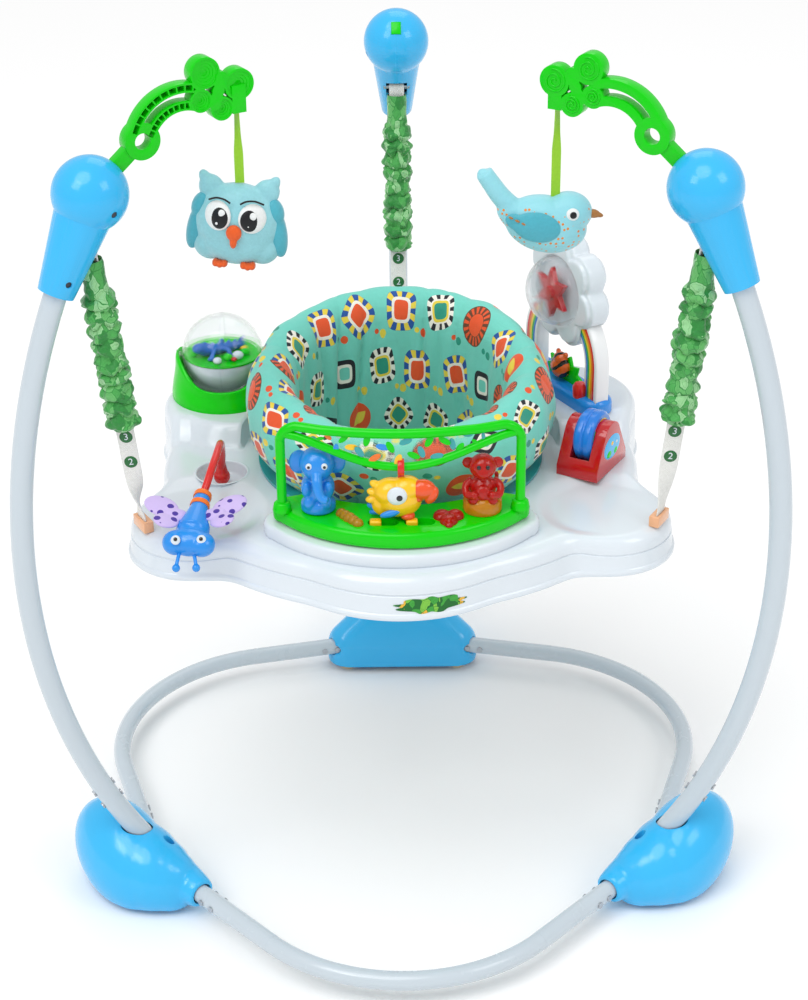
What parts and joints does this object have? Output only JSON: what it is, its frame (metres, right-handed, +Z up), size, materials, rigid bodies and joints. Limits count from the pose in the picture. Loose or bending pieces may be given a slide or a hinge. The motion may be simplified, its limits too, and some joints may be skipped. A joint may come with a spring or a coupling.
{
  "type": "baby jumper",
  "caption": "Baby jumper: bowed tube frame on a base ring carries a toy tray on covered springs, with a padded seat that turns in the tray.",
  "frame": {"origin": "middle of the footprint on the floor", "axes": "+X to the right as seen from the front, +Y to the back, +Z up"},
  "size_m": [0.8602, 0.9057, 1.0305],
  "materials": {
    "tube_paint": "gloss paint",
    "frame_blue": "gloss moulding",
    "pad_rubber": "matt",
    "steel": "zinc plated",
    "arm_green": "gloss moulding",
    "cover_cloth": "printed, gathered",
    "webbing": "woven",
    "clip_peach": "gloss moulding",
    "tray_white": "gloss moulding",
    "clear": "clear moulding",
    "light_amber": "translucent moulding",
    "station_blue": "gloss moulding",
    "toy_white": "gloss moulding",
    "tiger_orange": "gloss moulding",
    "roller_red": "gloss moulding",
    "seat_teal": "gloss moulding",
    "seat_cloth": "printed, padded",
    "toy_blue": "gloss moulding",
    "monkey_red": "translucent moulding",
    "parrot_yellow": "gloss moulding",
    "knob_yellow": "gloss moulding",
    "wing_cloth": "printed",
    "plush_aqua": "satin plush"
  },
  "bodies": {
    "frame": {"front_base_tube": "tube_paint", "left_base_tube": "tube_paint", "right_base_tube": "tube_paint", "leg_stubs": "tube_paint", "left_upright": "tube_paint", "right_upright": "tube_paint", "rear_upright": "tube_paint", "left_foot": "frame_blue", "right_foot": "frame_blue", "rear_foot": "frame_blue", "foot_pads": "pad_rubber", "tube_rivets": "steel", "left_housing_a": "frame_blue", "left_housing_b": "frame_blue", "right_housing_a": "frame_blue", "right_housing_b": "frame_blue", "rear_housing_a": "frame_blue", "rear_housing_b": "frame_blue", "housing_screws": "steel", "spring_pins": "steel", "left_toy_arm": "arm_green", "right_toy_arm": "arm_green", "socket_plug": "arm_green", "springs": "steel", "left_spring_cover": "cover_cloth", "right_spring_cover": "cover_cloth", "rear_spring_cover": "cover_cloth"},
    "tray": {"tray": "tray_white", "left_strap": "webbing", "right_strap": "webbing", "rear_strap": "webbing", "strap_clips": "clip_peach", "console_base": "arm_green", "console_hoop": "arm_green", "hoop_panel": "clear", "console_lights": "light_amber", "globe_cradle": "arm_green", "toy_station": "station_blue", "rainbow_arch": "toy_white", "cloud_shell": "toy_white", "cloud_dome": "clear", "leaf_tiger": "tiger_orange", "roller_base": "roller_red"},
    "seat": {"seat_ring": "seat_teal", "seat_retainer": "seat_teal", "seat_pad": "seat_cloth"},
    "elephant": {"elephant": "toy_blue"},
    "monkey": {"monkey": "monkey_red"},
    "parrot": {"parrot": "parrot_yellow"},
    "roller": {"roller_wheel": "station_blue"},
    "star": {"star_spinner": "roller_red"},
    "globe": {"globe_ball": "clear", "globe_lizard": "station_blue"},
    "bug": {"bug_stalk": "roller_red", "bug_body": "toy_blue", "bug_wings": "wing_cloth"},
    "power_knob": {"power_switch": "knob_yellow"},
    "volume_knob": {"volume_switch": "knob_yellow"},
    "owl": {"owl": "plush_aqua"},
    "bird": {"bird": "plush_aqua"}
  },
  "joints": [
    {"name": "bounce", "type": "slide", "parent": "frame", "child": "tray", "axis": [0, 0, 1], "range_m": [-0.09, 0.03], "stiffness_N_per_m": 700, "springref_m": 0.0818, "deforming": ["springs", "left_spring_cover", "right_spring_cover", "rear_spring_cover"]},
    {"name": "seat_swivel", "type": "hinge", "parent": "tray", "child": "seat", "pos_m": [0, -0.0418, 0.505], "axis": [0, 0, 1], "continuous": true},
    {"name": "elephant_twist", "type": "hinge", "parent": "tray", "child": "elephant", "pos_m": [-0.092, -0.2458, 0.541], "axis": [0, 0, 1], "range_deg": [-45, 45]},
    {"name": "monkey_twist", "type": "hinge", "parent": "tray", "child": "monkey", "pos_m": [0.09, -0.2498, 0.541], "axis": [0, 0, 1], "range_deg": [-35, 35]},
    {"name": "parrot_flip", "type": "hinge", "parent": "tray", "child": "parrot", "pos_m": [0, -0.2678, 0.603], "axis": [1, 0, 0], "range_deg": [-70, 12]},
    {"name": "roller_spin", "type": "hinge", "parent": "tray", "child": "roller", "pos_m": [0.226, -0.0758, 0.545], "axis": [0.866, -0.5, 0], "continuous": true},
    {"name": "star_spin", "type": "hinge", "parent": "tray", "child": "star", "pos_m": [0.19139, 0.0687, 0.669], "axis": [0.866, 0.5, 0], "continuous": true},
    {"name": "globe_spin", "type": "hinge", "parent": "tray", "child": "globe", "pos_m": [-0.21824, 0.0842, 0.585], "axis": [1, 0, 0], "continuous": true},
    {"name": "bug_bob", "type": "hinge", "parent": "tray", "child": "bug", "pos_m": [-0.212, -0.0838, 0.4994], "axis": [1, 0, 0], "range_deg": [-25, 2], "stiffness_Nm_per_rad": 3, "springref_deg": -2.65},
    {"name": "power_slide", "type": "slide", "parent": "tray", "child": "power_knob", "axis": [1, 0, 0], "range_m": [0, 0.017]},
    {"name": "volume_slide", "type": "slide", "parent": "tray", "child": "volume_knob", "axis": [1, 0, 0], "range_m": [0, 0.017]},
    {"name": "owl_swing", "type": "hinge", "parent": "frame", "child": "owl", "pos_m": [-0.17067, -0.14034, 0.96955], "axis": [0.5, -0.866, 0], "range_deg": [-30, 30]},
    {"name": "bird_swing", "type": "hinge", "parent": "frame", "child": "bird", "pos_m": [0.17067, -0.14034, 0.96955], "axis": [0.5, 0.866, 0], "range_deg": [-30, 30]}
  ]
}
